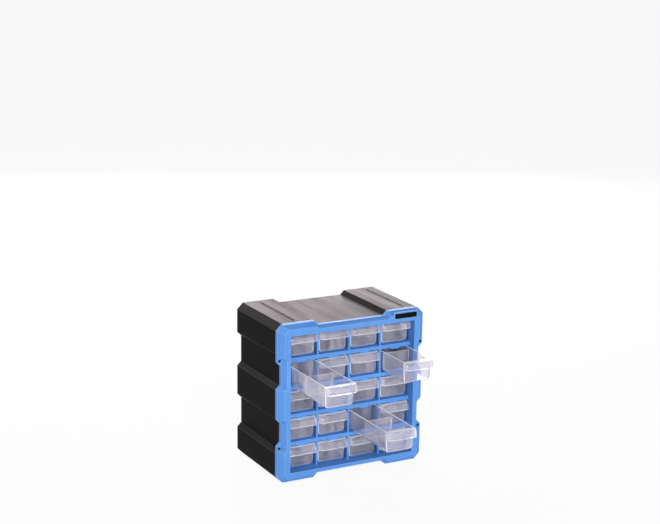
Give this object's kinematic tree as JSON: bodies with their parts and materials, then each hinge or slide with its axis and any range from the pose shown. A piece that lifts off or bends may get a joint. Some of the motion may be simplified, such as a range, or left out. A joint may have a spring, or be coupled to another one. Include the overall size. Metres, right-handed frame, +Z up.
{
  "type": "parts bin cabinet",
  "caption": "Bench-top cabinet with a castellated black case, a chamfered blue front frame and rows of clear sliding drawers with hood handles, some pulled out.",
  "frame": {"origin": "on the standing surface, under the middle of the cabinet with its drawers closed", "axes": "+Z up, the drawers open towards -Y, +X to the right as seen from the front"},
  "size_m": [0.265, 0.281, 0.262],
  "materials": {
    "blue_plastic": "smooth moulded blue plastic with a soft sheen",
    "black_plastic": "satin moulded black plastic",
    "clear_plastic": "clear moulded plastic, slightly milky",
    "plate_black": "glossy blank plate",
    "black_steel": "blackened screw"
  },
  "bodies": {
    "cabinet": {"front_frame": "blue_plastic", "front_grid": "blue_plastic", "name_plate": "plate_black", "frame_screws": "black_steel", "case_shell": "black_plastic", "back_panel": "black_plastic", "shelf_1": "blue_plastic", "shelf_2": "blue_plastic", "shelf_3": "blue_plastic", "shelf_4": "blue_plastic", "shelf_5": "blue_plastic", "partition_1": "blue_plastic", "partition_2": "blue_plastic", "partition_3": "blue_plastic", "partition_4": "blue_plastic", "partition_5": "blue_plastic"},
    "drawer_r1c1": {"drawer_r1c1": "clear_plastic"},
    "drawer_r1c2": {"drawer_r1c2": "clear_plastic"},
    "drawer_r1c3": {"drawer_r1c3": "clear_plastic"},
    "drawer_r1c4": {"drawer_r1c4": "clear_plastic"},
    "drawer_r2c1": {"drawer_r2c1": "clear_plastic", "divider_r2c1": "clear_plastic"},
    "drawer_r2c2": {"drawer_r2c2": "clear_plastic"},
    "drawer_r2c3": {"drawer_r2c3": "clear_plastic"},
    "drawer_r2c4": {"drawer_r2c4": "clear_plastic", "divider_r2c4": "clear_plastic"},
    "drawer_r3c1": {"drawer_r3c1": "clear_plastic"},
    "drawer_r3c2": {"drawer_r3c2": "clear_plastic"},
    "drawer_r3c3": {"drawer_r3c3": "clear_plastic"},
    "drawer_r3c4": {"drawer_r3c4": "clear_plastic"},
    "drawer_r4c1": {"drawer_r4c1": "clear_plastic"},
    "drawer_r4c2": {"drawer_r4c2": "clear_plastic"},
    "drawer_r4c3": {"drawer_r4c3": "clear_plastic", "divider_r4c3": "clear_plastic"},
    "drawer_r4c4": {"drawer_r4c4": "clear_plastic"},
    "drawer_r5c1": {"drawer_r5c1": "clear_plastic"},
    "drawer_r5c2": {"drawer_r5c2": "clear_plastic"},
    "drawer_r5c3": {"drawer_r5c3": "clear_plastic"},
    "drawer_r5c4": {"drawer_r5c4": "clear_plastic"}
  },
  "joints": [
    {"name": "slide_r1c1", "type": "slide", "parent": "cabinet", "child": "drawer_r1c1", "axis": [0, -1, 0], "range_m": [0, 0.1332]},
    {"name": "slide_r1c2", "type": "slide", "parent": "cabinet", "child": "drawer_r1c2", "axis": [0, -1, 0], "range_m": [0, 0.1332]},
    {"name": "slide_r1c3", "type": "slide", "parent": "cabinet", "child": "drawer_r1c3", "axis": [0, -1, 0], "range_m": [0, 0.1332]},
    {"name": "slide_r1c4", "type": "slide", "parent": "cabinet", "child": "drawer_r1c4", "axis": [0, -1, 0], "range_m": [0, 0.1332]},
    {"name": "slide_r2c1", "type": "slide", "parent": "cabinet", "child": "drawer_r2c1", "axis": [0, -1, 0], "range_m": [-0.13, 0.0032]},
    {"name": "slide_r2c2", "type": "slide", "parent": "cabinet", "child": "drawer_r2c2", "axis": [0, -1, 0], "range_m": [0, 0.1332]},
    {"name": "slide_r2c3", "type": "slide", "parent": "cabinet", "child": "drawer_r2c3", "axis": [0, -1, 0], "range_m": [0, 0.1332]},
    {"name": "slide_r2c4", "type": "slide", "parent": "cabinet", "child": "drawer_r2c4", "axis": [0, -1, 0], "range_m": [-0.0741, 0.0591]},
    {"name": "slide_r3c1", "type": "slide", "parent": "cabinet", "child": "drawer_r3c1", "axis": [0, -1, 0], "range_m": [0, 0.1332]},
    {"name": "slide_r3c2", "type": "slide", "parent": "cabinet", "child": "drawer_r3c2", "axis": [0, -1, 0], "range_m": [0, 0.1332]},
    {"name": "slide_r3c3", "type": "slide", "parent": "cabinet", "child": "drawer_r3c3", "axis": [0, -1, 0], "range_m": [0, 0.1332]},
    {"name": "slide_r3c4", "type": "slide", "parent": "cabinet", "child": "drawer_r3c4", "axis": [0, -1, 0], "range_m": [0, 0.1332]},
    {"name": "slide_r4c1", "type": "slide", "parent": "cabinet", "child": "drawer_r4c1", "axis": [0, -1, 0], "range_m": [0, 0.1332]},
    {"name": "slide_r4c2", "type": "slide", "parent": "cabinet", "child": "drawer_r4c2", "axis": [0, -1, 0], "range_m": [0, 0.1332]},
    {"name": "slide_r4c3", "type": "slide", "parent": "cabinet", "child": "drawer_r4c3", "axis": [0, -1, 0], "range_m": [-0.1199, 0.0133]},
    {"name": "slide_r4c4", "type": "slide", "parent": "cabinet", "child": "drawer_r4c4", "axis": [0, -1, 0], "range_m": [0, 0.1332]},
    {"name": "slide_r5c1", "type": "slide", "parent": "cabinet", "child": "drawer_r5c1", "axis": [0, -1, 0], "range_m": [0, 0.1332]},
    {"name": "slide_r5c2", "type": "slide", "parent": "cabinet", "child": "drawer_r5c2", "axis": [0, -1, 0], "range_m": [0, 0.1332]},
    {"name": "slide_r5c3", "type": "slide", "parent": "cabinet", "child": "drawer_r5c3", "axis": [0, -1, 0], "range_m": [0, 0.1332]},
    {"name": "slide_r5c4", "type": "slide", "parent": "cabinet", "child": "drawer_r5c4", "axis": [0, -1, 0], "range_m": [0, 0.1332]}
  ]
}
